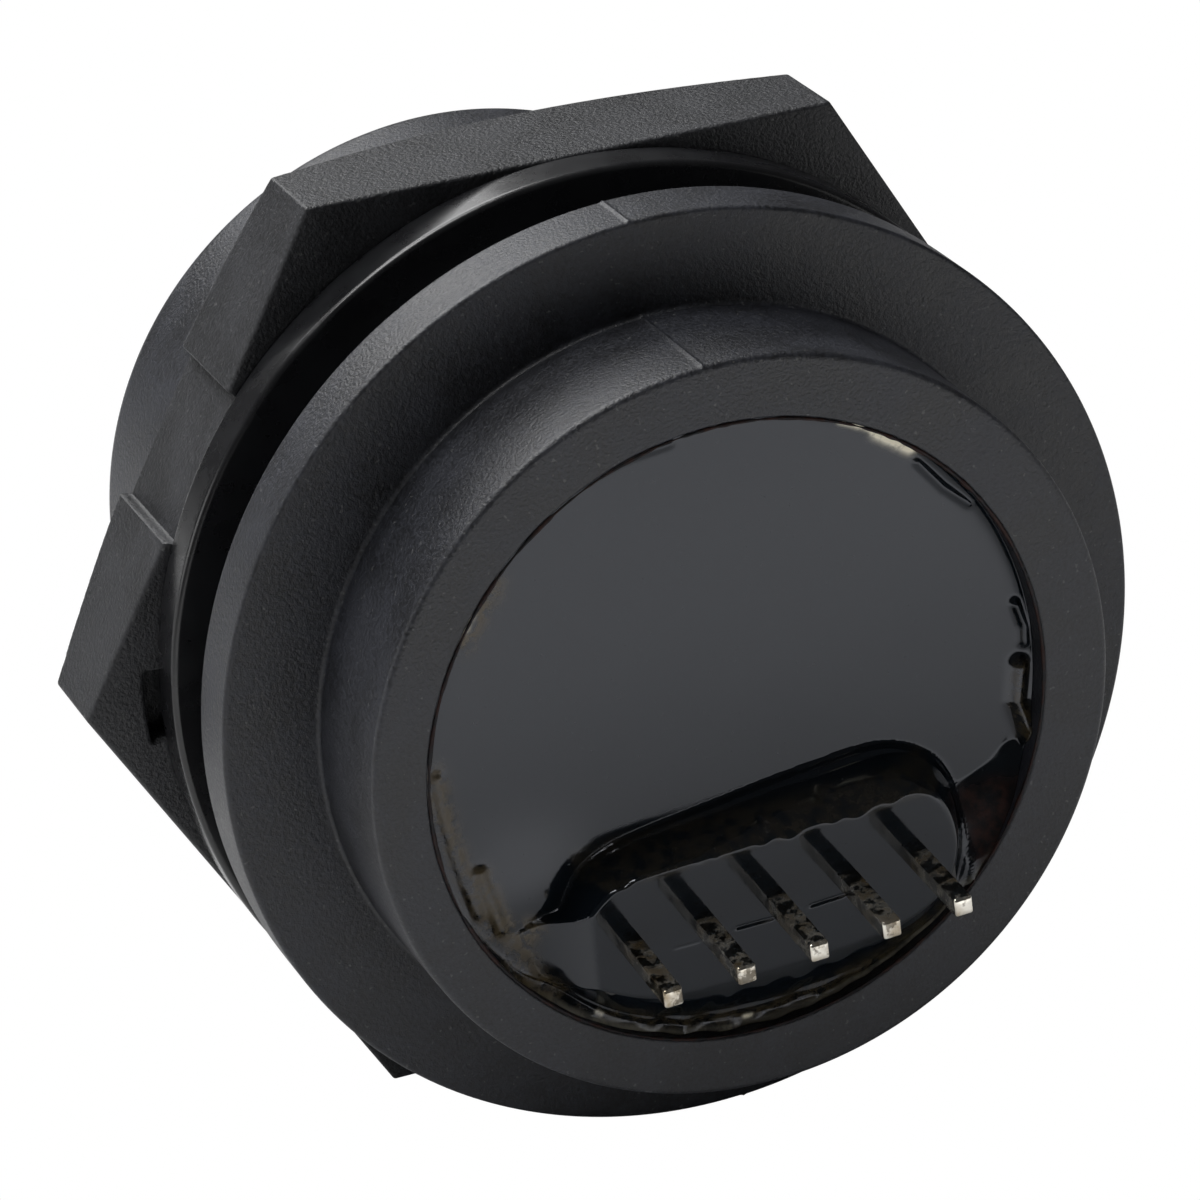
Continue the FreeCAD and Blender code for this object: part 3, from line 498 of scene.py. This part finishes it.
def nut():
    """Nut: its outline is carried from the rear edge to the front, held inside the cone of the
    front chamfer, then over the front face, down the bore and out across the rear face with its
    slot."""
    angles = nut_angles()
    outline = nut_outline(angles)
    rows = []

    def add_row(radius, place):
        rows.append(np.broadcast_arrays(radius, place, outline)[:2])

    edge, bend = 0.14, 0.12
    for angle in np.radians(np.linspace(0, 90, 6)):
        add_row(outline - edge * (1 - math.sin(angle)), NUT_BACK + edge * (1 - math.cos(angle)))
    corner = NUT_FLAT / math.cos(math.radians(30))
    for place in np.concatenate([np.arange(NUT_BACK + 0.3, NUT_FRONT - 1.8, 0.35),
                                 np.arange(NUT_FRONT - 1.7, NUT_FRONT - 0.05, 0.06)]):
        cone = NUT_FLAT + (NUT_FRONT - place) * (corner - NUT_FLAT) / CHAMFER_DROP
        add_row(np.minimum(softer_minimum(outline, cone, bend) + bend * 0.1, outline), place)
    last = rows[-1][0]
    for inset, drop in ((0.06, 0.02), (0.16, 0.0), (0.5, 0.0)):
        add_row(last - inset, NUT_FRONT - drop)
    for radius, place in ((THREAD + 1.0, NUT_FRONT), (THREAD + 0.55, NUT_FRONT),
                          (THREAD + 0.48, NUT_FRONT - 0.03), (THREAD + 0.03, NUT_FRONT - 0.47),
                          (THREAD, NUT_FRONT - 0.55), (THREAD, NUT_FRONT - 2.6),
                          (THREAD, NUT_BACK + 0.1)):
        add_row(radius, place)
    inner, outer = THREAD + 0.05, 16.7
    add_row(inner, NUT_BACK)
    turned_by = np.degrees(angles) - NUT_TURN
    slot_across = np.abs(NUT_FLAT * np.radians((turned_by - SLOT_ANGLE + 180) % 360 - 180))
    in_slot = smoothstep(SLOT_HALF + 0.1, SLOT_HALF - 0.1, slot_across)
    reach = np.clip((outline - edge - 0.04 - inner) / (outer - inner), 0, 1)
    for radius in np.concatenate([[14.12, 14.2], np.linspace(14.6, 15.9, 4),
                                  [16.22, 16.3, 16.38, 16.46, 16.6]]):
        along_slot = smoothstep(SLOT_REACH + 0.09, SLOT_REACH - 0.09, radius)
        along_slot *= smoothstep(THREAD + 0.1, THREAD + 0.18, radius)
        add_row(inner + (radius - inner) * reach, NUT_BACK + SLOT_DEPTH * in_slot * along_slot)
    radius, place = (np.array([row[k] for row in rows]) for k in (0, 1))
    mesh = turned_mesh("nut_body", radius, place, angles)
    add_piece("nut_body", mesh, NUT_NYLON, ["hex_nut"])


# Casting resin

# Edge of the flat part round the pins, and the line where its slope meets the pool: (X, Z)
MESA_EDGE = [
    (-6.75, -4.62), (-6.4, -4.35), (-5.95, -3.95), (-5.3, -3.6), (-4.5, -3.52), (-3.9, -3.52),
    (-2.5, -3.53), (-1.3, -3.58), (0.0, -3.54), (1.4, -3.56), (3.0, -3.58), (4.2, -3.5),
    (5.05, -3.45), (5.6, -3.7), (6.05, -4.3), (6.3, -5.07), (6.37, -5.8), (6.15, -6.7),
    (5.6, -7.45), (4.67, -7.88), (3.42, -8.1), (1.8, -8.18), (-0.4, -8.14), (-1.99, -8.12),
    (-3.38, -8.05), (-4.4, -7.92), (-5.1, -7.68), (-5.8, -7.33), (-6.55, -6.85), (-7.1, -6.42),
    (-7.7, -6.1), (-8.45, -5.8), (-8.4, -5.2), (-7.95, -4.92), (-7.5, -4.8), (-7.1, -4.72)]
SLOPE_FOOT = [
    (-6.8, -4.5), (-6.55, -4.1), (-6.25, -3.65), (-5.8, -3.3), (-5.2, -3.05), (-4.5, -2.87),
    (-2.81, -2.67), (-1.01, -2.52), (0.8, -2.33), (2.61, -2.22), (4.02, -2.14), (5.01, -2.24),
    (5.98, -2.68), (6.8, -3.4), (7.2, -4.2), (7.35, -5.0), (7.35, -6.2), (7.2, -7.4),
    (6.7, -8.6), (5.0, -9.65), (2.8, -10.2), (-0.2, -10.4), (-3.2, -10.0), (-4.9, -9.35),
    (-6.3, -8.4), (-7.4, -7.3), (-8.4, -6.6), (-8.95, -5.9), (-8.75, -5.3), (-8.4, -5.02),
    (-7.95, -4.78), (-7.5, -4.66), (-7.1, -4.6)]
# At its left end the flat part sinks into the pool: X where it starts to rise, and over what length
SINK_START, SINK_LENGTH = -8.6, 2.25
# Bites out of the flat part's upper edge, and hollows in the slope above it: X, Z, half width
BITES = [
    (-5.15, -3.52, 0.16), (-1.98, -3.6, 0.12), (-0.3, -3.5, 0.18), (0.66, -3.6, 0.28),
    (2.2, -3.48, 0.18), (3.06, -3.56, 0.28), (4.3, -3.4, 0.18)]
HOLLOWS = [(-2.58, -3.3, 0.2), (-0.09, -3.1, 0.2), (2.2, -2.95, 0.28), (2.75, -3.25, 0.2),
           (4.6, -2.9, 0.3)]
# Short dents between the pins, from the strip's seams: ends and depth
DENTS = [((-3.7, -6.42), (-2.8, -6.46), 0.02), ((-1.46, -6.39), (-0.23, -6.44), 0.09),
         ((1.16, -6.41), (2.33, -6.4), 0.09)]
# Thin ridges of resin beside the wall: line, width and height
RIDGES = [
    ([(-10.2, 1.0), (-10.1, -0.6), (-9.88, -2.2), (-9.57, -3.9)], 0.24, 0.1),
    ([(-9.3, -2.6), (-9.1, -3.7), (-8.9, -4.7)], 0.2, 0.12),
    ([(-4.6, 9.45), (-2.6, 9.95), (-1.0, 10.05)], 0.14, 0.07),
    ([(7.2, 7.1), (8.0, 6.0), (8.8, 5.2)], 0.14, 0.1),
    ([(10.1, 1.2), (10.28, 0.4), (10.25, -0.2)], 0.16, 0.2),
    ([(10.0, -1.0), (9.75, -2.2), (10.0, -3.5)], 0.26, 0.34)]
# Dried olive residue on the resin, and pale cream spots that paint glints: line, width and strength
OLIVE_MARKS = [
    ([(-10.25, 1.2), (-10.12, -0.6), (-9.88, -2.2), (-9.5, -3.9), (-9.3, -4.8)], 0.36, 1.1),
    ([(-9.2, -2.7), (-9.0, -3.7), (-8.8, -4.8), (-8.5, -5.8)], 0.3, 1.2),
    ([(-8.0, -4.9), (-8.45, -5.6), (-8.2, -6.6), (-7.5, -7.4)], 0.36, 1.1),
    ([(-8.75, -4.3), (-8.6, -5.2)], 0.2, 0.9),
    ([(-8.6, 5.5), (-8.15, 6.2), (-7.5, 6.95)], 0.42, 1.3),
    ([(-10.4, 2.5), (-10.5, 1.1), (-10.45, -0.3)], 0.16, 0.9),
    ([(10.0, -1.0), (9.75, -2.2), (10.0, -3.5)], 0.24, 0.7)]
# Painted glints: pale cream spots in place of highlights, on the wall's film at the upper right, on
# the lower rim and at the upper left.
PAINTED_GLINT_MARKS = [
    ([(4.75, 9.2), (5.8, 8.62)], 0.1, 1.0), ([(5.95, 8.5), (7.0, 7.68)], 0.2, 1.9),
    ([(3.94, -10.1), (4.12, -10.05)], 0.12, 1.6), ([(4.5, -9.92), (4.62, -9.87)], 0.1, 1.6),
    ([(-8.5, 5.8), (-8.2, 6.25)], 0.1, 0.8), ([(-6.2, -8.5), (-6.1, -8.6)], 0.08, 1.0),
    ([(-1.2, -10.35), (-1.0, -10.37)], 0.08, 1.2)]


def rounded_outline(corners):
    """Closed outline, its corners cut back twice so that it runs smoothly."""
    line = np.array(corners, float)
    for _ in range(2):
        after = np.roll(line, -1, 0)
        line = np.stack([line * 0.75 + after * 0.25, line * 0.25 + after * 0.75], 1).reshape(-1, 2)
    return line


def segment_distance(x, z, start, end):
    """Distance of each point from the straight line between two points."""
    run = end - start
    share = np.clip(((x - start[0]) * run[0] + (z - start[1]) * run[1]) / (run @ run), 0, 1)
    return np.hypot(x - start[0] - share * run[0], z - start[1] - share * run[1])


def line_distance(x, z, points):
    """Distance of each point from an open line through the given points."""
    points = np.array(points, float)
    best = np.full(x.shape, 1e9)
    for start, end in zip(points[:-1], points[1:]):
        best = np.minimum(best, segment_distance(x, z, start, end))
    return best


def outline_distance(x, z, outline):
    """Distance of each point from a closed outline, positive inside it. A point is inside where a
    line from it towards +X crosses the outline an odd number of times."""
    best = np.full(x.shape, 1e9)
    inside = np.zeros(x.shape, bool)
    for start, end in zip(outline, np.roll(outline, -1, 0)):
        best = np.minimum(best, segment_distance(x, z, start, end))
        run = end - start
        if run[1] != 0:
            crosses = (start[1] > z) != (end[1] > z)
            inside ^= crosses & (x < start[0] + (z - start[1]) * run[0] / run[1])
    return np.where(inside, best, -best)


def slope_rise(share):
    """Share of the slope's height at each share of its width: a soft foot, a narrow terrace near
    it, an even rise and a rounded edge. It is the running sum of the slope's steepness."""
    steps = np.linspace(0, 1, 600)
    steep = smoothstep(0, 0.06, steps) * (1 - 0.88 * hump(steps - 0.17, 0.045))
    steep *= 1 - 0.35 * smoothstep(0.3, 0.8, steps)
    steep *= 1 - smoothstep(0.82, 1.0, steps)
    height = np.cumsum(steep)
    return np.interp(share, steps, height / height[-1])


def raised_share(x, z):
    """Share of the way from the pool up to the flat part round the pins, at each point. It depends
    on how far the point is across the slope, less where the flat part sinks at its left end."""
    to_edge = outline_distance(x, z, rounded_outline(MESA_EDGE))
    to_foot = outline_distance(x, z, rounded_outline(SLOPE_FOOT))
    for middle_x, middle_z, width in BITES:
        bite = hump(np.hypot(x - middle_x, z - middle_z), width * 1.3)
        to_edge = to_edge - 0.9 * width * bite
    share = np.clip(to_foot / np.maximum(to_foot - np.minimum(to_edge, 0), 1e-6), 0, 1)
    share = np.where(to_edge >= 0, 1.0, share)
    sinking = np.clip((x - SINK_START) / SINK_LENGTH, 0, 1) ** 1.9
    bend, lift = math.sqrt(0.002), 0.0223
    rise = softer_minimum(slope_rise(share), sinking, bend) + lift
    return np.where(share <= 0, 0, np.clip(rise, 0, 1))


def pool_depth(x, z):
    """Depth of the resin away from the pins: level, but higher below the pins, banked up with a
    wavy edge at the lower right, and swollen a little beside the flat part's left end."""
    past_edge = np.maximum(0.12 * waves(x, z, 1.6, 25) + (x - 7.3) * 0.35 + (-4.45 - z) * 0.94, 0)
    bank = 0.42 * past_edge ** 2 / (past_edge + 0.25) * smoothstep(6.6, 7.4, x)
    below_pins = 0.45 * smoothstep(-7.0, -8.6, z) * smoothstep(7.6, 6.6, x)
    swelling = 0.28 * hump(np.hypot(x + 7.7, z + 4.1), 2.0)
    return POOL_DEPTH - below_pins - np.minimum(bank, 0.95) - swelling


def wall_film(x, z, depth):
    """How much higher the resin stands where it wets the wall: a film that thins out with the
    distance from the wall, wider and rougher below the pins, and lower where the resin is high."""
    radius, angle = np.hypot(x - MOUTH_X, z - MOUTH_Z), np.arctan2(z, x)
    around_x, around_z = np.cos(angle) * POCKET, np.sin(angle) * POCKET
    rough = smoothstep(-5.0, -8.5, around_z)
    climb = 0.3 + 0.05 * waves(around_x, around_z, 5.0, 21)
    climb += 0.08 * rough * waves(around_x, around_z, 1.3, 22)
    spread = 0.15 + 0.03 * waves(around_x, around_z, 6.0, 23) + 0.2 * rough
    climb = np.clip(climb, 0.1, 0.9) * np.clip(depth / POOL_DEPTH, 0.25, 1)
    return climb * np.exp(-np.maximum(MOUTH - radius, 0) / np.maximum(spread, 0.1))


def resin_depth(x, z):
    """Depth of the resin's surface below the housing's rim, at points across the pocket."""
    pool = pool_depth(x, z)
    mesa = MESA_DEPTH - 0.02 - LEAN * (z - LEAN_ABOUT)
    depth = pool - (pool - mesa) * raised_share(x, z)
    for middle_x, middle_z, width in HOLLOWS:
        depth += 0.35 * width * hump(np.hypot(x - middle_x, z - middle_z), width)
    for start, end, sink in DENTS:
        depth += sink * hump(line_distance(x, z, [start, end]), 0.06)
    depth -= wall_film(x, z, depth)
    lower = smoothstep(-8.6, -9.5, z)
    lower *= smoothstep(8.6, 9.8, np.hypot(x - MOUTH_X, z - MOUTH_Z))
    depth -= 0.05 * lower * waves(x, z, 1.1, 24)
    for line, width, height in RIDGES:
        depth -= height * hump(line_distance(x, z, line), width)
    depth += 0.004 * waves(x, z, 5.0, 26)
    return np.clip(depth, -0.95, POOL_DEPTH + 0.15)


def residue_and_painted_light(x, z):
    """Shares of olive residue, painted glints and red-brown residue at points across the pocket."""
    radius = np.hypot(x - MOUTH_X, z - MOUTH_Z)
    olive, painted_glint = np.zeros(x.shape), np.zeros(x.shape)
    for marks, total in ((OLIVE_MARKS, olive), (PAINTED_GLINT_MARKS, painted_glint)):
        for line, width, strength in marks:
            total += strength * hump(line_distance(x, z, line), width)
    olive += 0.4 * smoothstep(-7.5, -8.6, z) * smoothstep(9.5, 10.4, radius)
    olive += 0.6 * smoothstep(-5.5, -6.5, z) * smoothstep(-7.4, -8.4, x)
    olive += 0.16 * smoothstep(-2.6, -2.9, z) * smoothstep(-3.75, -3.6, z) * (np.abs(x) < 6.3)
    # Painted glints along the lower part of the pocket's edge.
    painted_glint += 0.25 * smoothstep(10.45, 10.65, radius) * smoothstep(-6.5, -9.0, z)
    red = smoothstep(7.1, 7.7, x) * smoothstep(-4.4, -5.0, z)
    return [np.clip(share, 0, 1) for share in (olive, painted_glint, red)]


def rim_bead():
    """Bead of resin on the pocket's edge: a thin ring, its section's radius 0.055 mm plus waves."""
    angles = np.linspace(0, 2 * math.pi, 900, endpoint=False)
    turn = np.linspace(0, 2 * math.pi, 8, endpoint=False)[:, None]
    around_x, around_z = np.cos(angles) * MOUTH, np.sin(angles) * MOUTH
    thick = 0.055 + 0.016 * waves(around_x, around_z, 2.2, 31)
    thick += 0.01 * waves(around_x, around_z, 0.5, 32)
    thick = np.clip(thick, 0.02, 0.11)[None, :]
    middle = MOUTH - 0.03 + MOUTH_X * np.cos(angles) + MOUTH_Z * np.sin(angles)
    points = lathe_points(middle + thick * np.cos(turn), RIM + 0.03 + thick * np.sin(turn), angles)
    return points, faced_outward(points, lattice_faces(len(turn), len(angles)))


def uneven_steps(count, density):
    """Values from -1 to 1, closer together where density is high."""
    even = np.linspace(-1, 1, 4000)
    passed = np.cumsum(density(even))
    passed = (passed - passed[0]) / (passed[-1] - passed[0])
    return np.interp(np.linspace(0, 1, count), passed, even)


def resin():
    """Resin: a square lattice stretched onto the round pocket (x = u * sqrt(1 - v * v / 2), and the
    same with u and v changed over), its depth from resin_depth, closed by a wall and a flat back.
    The lattice is closer at the wall and round the pins."""
    steps_across, steps_up = 262, 350
    columns = uneven_steps(steps_across, lambda u: 1 + 1.5 * smoothstep(0.92, 0.97, np.abs(u)))
    rows = uneven_steps(steps_up, lambda v: 1 + 1.5 * smoothstep(0.92, 0.97, v)
                        + 1.5 * smoothstep(-0.14, -0.2, v))
    u, v = np.meshgrid(columns, rows, indexing="ij")
    reach = MOUTH - 0.01
    x = MOUTH_X + u * np.sqrt(1 - v * v / 2) * reach
    z = MOUTH_Z + v * np.sqrt(1 - u * u / 2) * reach
    top = np.stack([x, RIM + resin_depth(x, z), z], -1).reshape(-1, 3)
    number = np.arange(x.size).reshape(x.shape)
    quads = np.stack([number[:-1, :-1], number[1:, :-1], number[1:, 1:], number[:-1, 1:]], -1)
    quads = quads.reshape(-1, 4)
    border = np.concatenate([number[:-1, 0], number[-1, :-1], number[:0:-1, -1], number[0, :0:-1]])
    back = top[border].copy()
    back[:, 1] = RESIN_BACK
    lower = len(top) + np.arange(len(border))
    wall = np.stack([lower, np.roll(lower, -1), np.roll(border, -1), border], -1)
    centre = np.full(len(border), len(top) + len(border))
    fan = np.stack([centre, np.roll(lower, -1), lower], -1)
    points = np.concatenate([top, back, [[0, RESIN_BACK, 0]]])
    bead_points, bead_quads = rim_bead()
    quads = np.concatenate([quads, wall, bead_quads + len(points)])
    mesh = build_mesh("resin_fill", np.concatenate([points, bead_points]), quads, fan)
    colours = np.zeros((len(points) + len(bead_points), 4))
    colours[:, 3] = 1
    for channel, share in enumerate(residue_and_painted_light(x, z)):
        colours[:len(top), channel] = share.ravel()
    # The bead takes the full red-brown share, dark and dull: painted shade of a thin gap between
    # the resin and the wall.
    stain_and_shade_channel = 2
    colours[len(points):, stain_and_shade_channel] = 1
    attribute = mesh.attributes.new("residue_and_painted_light", "FLOAT_COLOR", "POINT")
    attribute.data.foreach_set("color", colours.ravel())
    add_piece("resin_fill", mesh, RESIN, ["potting"])


# Header pins

def pin_section():
    """Square section from -1 to 1 with rounded corners, five points to each corner."""
    round_off = 0.22
    points = []
    for quarter in range(4):
        diagonal = math.radians(quarter * 90 + 45)
        corner = (1 - round_off) * np.sign([math.cos(diagonal), math.sin(diagonal)])
        for degrees in np.linspace(0, 90, 5):
            angle = math.radians(quarter * 90 + degrees)
            points.append(corner + round_off * np.array([math.cos(angle), math.sin(angle)]))
    return np.array(points)


def pin(index):
    """Square pin with softened corners and a cropped tip: its section swept along the axis, leaning
    where it stands out of the resin, and closed by a strip of faces at each end."""
    section = pin_section()
    rows = [(PIN_TIP, 0.3), (PIN_TIP, 0.75), (PIN_TIP + 0.01, 0.84), (PIN_TIP + 0.05, 0.94),
            (PIN_TIP + 0.11, 1.0), (PIN_TIP + 0.17, 1.0)]
    rows += [(place, 1.0) for place in np.arange(PIN_TIP + 0.6, PIN_TAIL - 0.3, 0.5)]
    rows += [(PIN_TAIL - 0.15, 1.0), (PIN_TAIL, 0.6), (PIN_TAIL, 0.02)]
    points = []
    for place, scale in rows:
        lean = LEAN * max(0, min(place, RIM + MESA_DEPTH) - PIN_TIP)
        ring = section * PIN_HALF * scale + ((index - 3) * PIN_PITCH, PIN_ROW + lean)
        points.append(np.stack([ring[:, 0], np.full(len(ring), place), ring[:, 1]], -1))
    points = np.concatenate(points)
    columns = len(section)
    first_cap = np.arange(columns)
    last_cap = (len(rows) - 1) * columns + first_cap
    caps = []
    for ring, sense in ((first_cap, 1), (last_cap, -1)):
        for k in range(columns // 2 - 1):
            caps.append([ring[k], ring[k + 1], ring[-2 - k], ring[-1 - k]][::sense])
    quads = np.concatenate([lattice_faces(len(rows), columns, close_rows=False), caps])
    name = f"pin_{index}"
    mesh = build_mesh(name, points, faced_outward(points, quads))
    add_piece(name, mesh, TIN, [f"header_pin_{index}"])


housing()
gasket()
nut()
resin()
for number in range(1, 6):
    pin(number)

# Solids that are shown as they are, and their materials
CAD_FINISH = {
    "header_block": HEADER, "circuit_board": BOARD, "receptacle_shell": STEEL,
    "receptacle_insulator": INSULATOR, "socket_carrier": CARRIER, "carrier_seal": SEAL,
    "mating_seal": SEAL, "contact_1": GOLD, "contact_2": GOLD, "contact_3": GOLD, "contact_4": GOLD}
for node, finish in CAD_FINISH.items():
    for material_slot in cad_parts[node].material_slots:
        material_slot.material = finish


# Floor, light and camera

def floor():
    """Pale floor that the camera sees as plain white."""
    mesh = bpy.data.meshes.new("floor")
    half, level = 3.0, cad_box[0].z - 0.0001
    corners = [(x * half, y * half, level) for x, y in ((-1, -1), (1, -1), (1, 1), (-1, 1))]
    mesh.from_pydata(corners, [], [(0, 1, 2, 3)])
    piece = bpy.data.objects.new("floor", mesh)
    bpy.context.collection.objects.link(piece)
    material = bpy.data.materials.new("pale_floor")
    material.use_nodes = True
    tree = material.node_tree
    tree.nodes.clear()
    matt = add_node(tree, "ShaderNodeBsdfDiffuse", {"Color": linear("e6e6e6")})
    white = add_node(tree, "ShaderNodeEmission", {"Color": (1, 1, 1, 1), "Strength": 1.0})
    seen = add_node(tree, "ShaderNodeLightPath").outputs["Is Camera Ray"]
    both = add_node(tree, "ShaderNodeMixShader", {0: seen, 1: matt.outputs[0], 2: white.outputs[0]})
    add_node(tree, "ShaderNodeOutputMaterial", {"Surface": both.outputs[0]})
    mesh.materials.append(material)


def surroundings(strength):
    """White to the camera, and a dim grey room to everything else."""
    world = bpy.data.worlds.new("studio")
    bpy.context.scene.world = world
    world.use_nodes = True
    tree = world.node_tree
    tree.nodes.clear()
    room = add_node(tree, "ShaderNodeBackground", {"Color": (1, 1, 1, 1), "Strength": strength})
    white = add_node(tree, "ShaderNodeBackground", {"Color": (1, 1, 1, 1), "Strength": 1.0})
    seen = add_node(tree, "ShaderNodeLightPath").outputs["Is Camera Ray"]
    both = add_node(tree, "ShaderNodeMixShader", {0: seen, 1: room.outputs[0], 2: white.outputs[0]})
    add_node(tree, "ShaderNodeOutputWorld", {"Surface": both.outputs[0]})


def placed(axes, place):
    """Matrix that puts an object's own X, Y and Z along the given axes, at the given place."""
    return Matrix([(*row, spot) for row, spot in zip(np.stack(axes, 1), place)] + [(0, 0, 0, 1)])


def softbox(name, place, target, size, watts, spread=180):
    """Rectangular soft light: places and sizes in millimetres, its beam's spread in degrees."""
    data = bpy.data.lights.new(name, "AREA")
    data.shape, data.size, data.size_y = "RECTANGLE", size[0] * MM, size[1] * MM
    data.energy = watts
    data.spread = math.radians(spread)
    lamp = bpy.data.objects.new(name, data)
    bpy.context.collection.objects.link(lamp)
    place, target = np.array(place, float) * MM, np.array(target, float) * MM
    back = (place - target) / np.linalg.norm(place - target)
    right = np.cross((0, 0, 1), back)
    right = right / np.linalg.norm(right)
    up = np.cross(back, right)
    lamp.matrix_world = placed([right, up, back], place)


def camera():
    """Camera at the photograph's place, from its right, down and forward axes and its position."""
    right = np.array((0.9189, -0.3745, -0.1252))
    down = np.array((-0.2659, -0.3524, -0.8975))
    ahead = np.array((0.2920, 0.8577, -0.4234))
    place = np.array((-52.152, -147.765, 75.323)) * MM
    data = bpy.data.cameras.new("camera")
    data.sensor_width, data.lens = 36.0, 157.5
    data.clip_start, data.clip_end = 0.01, 20.0
    view = bpy.data.objects.new("camera", data)
    bpy.context.collection.objects.link(view)
    view.matrix_world = placed([right, -down, -ahead], place)
    bpy.context.scene.camera = view


floor()
surroundings(0.05)
softbox("top_light", (-60, 20, 240), (0, 0, 0), (120, 120), 0.44)
softbox("back_light", (-30, 180, 190), (0, 0, 0), (160, 160), 0.5)
softbox("left_light", (-300, 60, 60), (0, 0, 0), (200, 100), 0.145)
softbox("floor_light", (30, -78, 120), (30, -79, 0), (260, 90), 0.078, spread=22)
camera()
bpy.context.scene.view_settings.view_transform = "Standard"
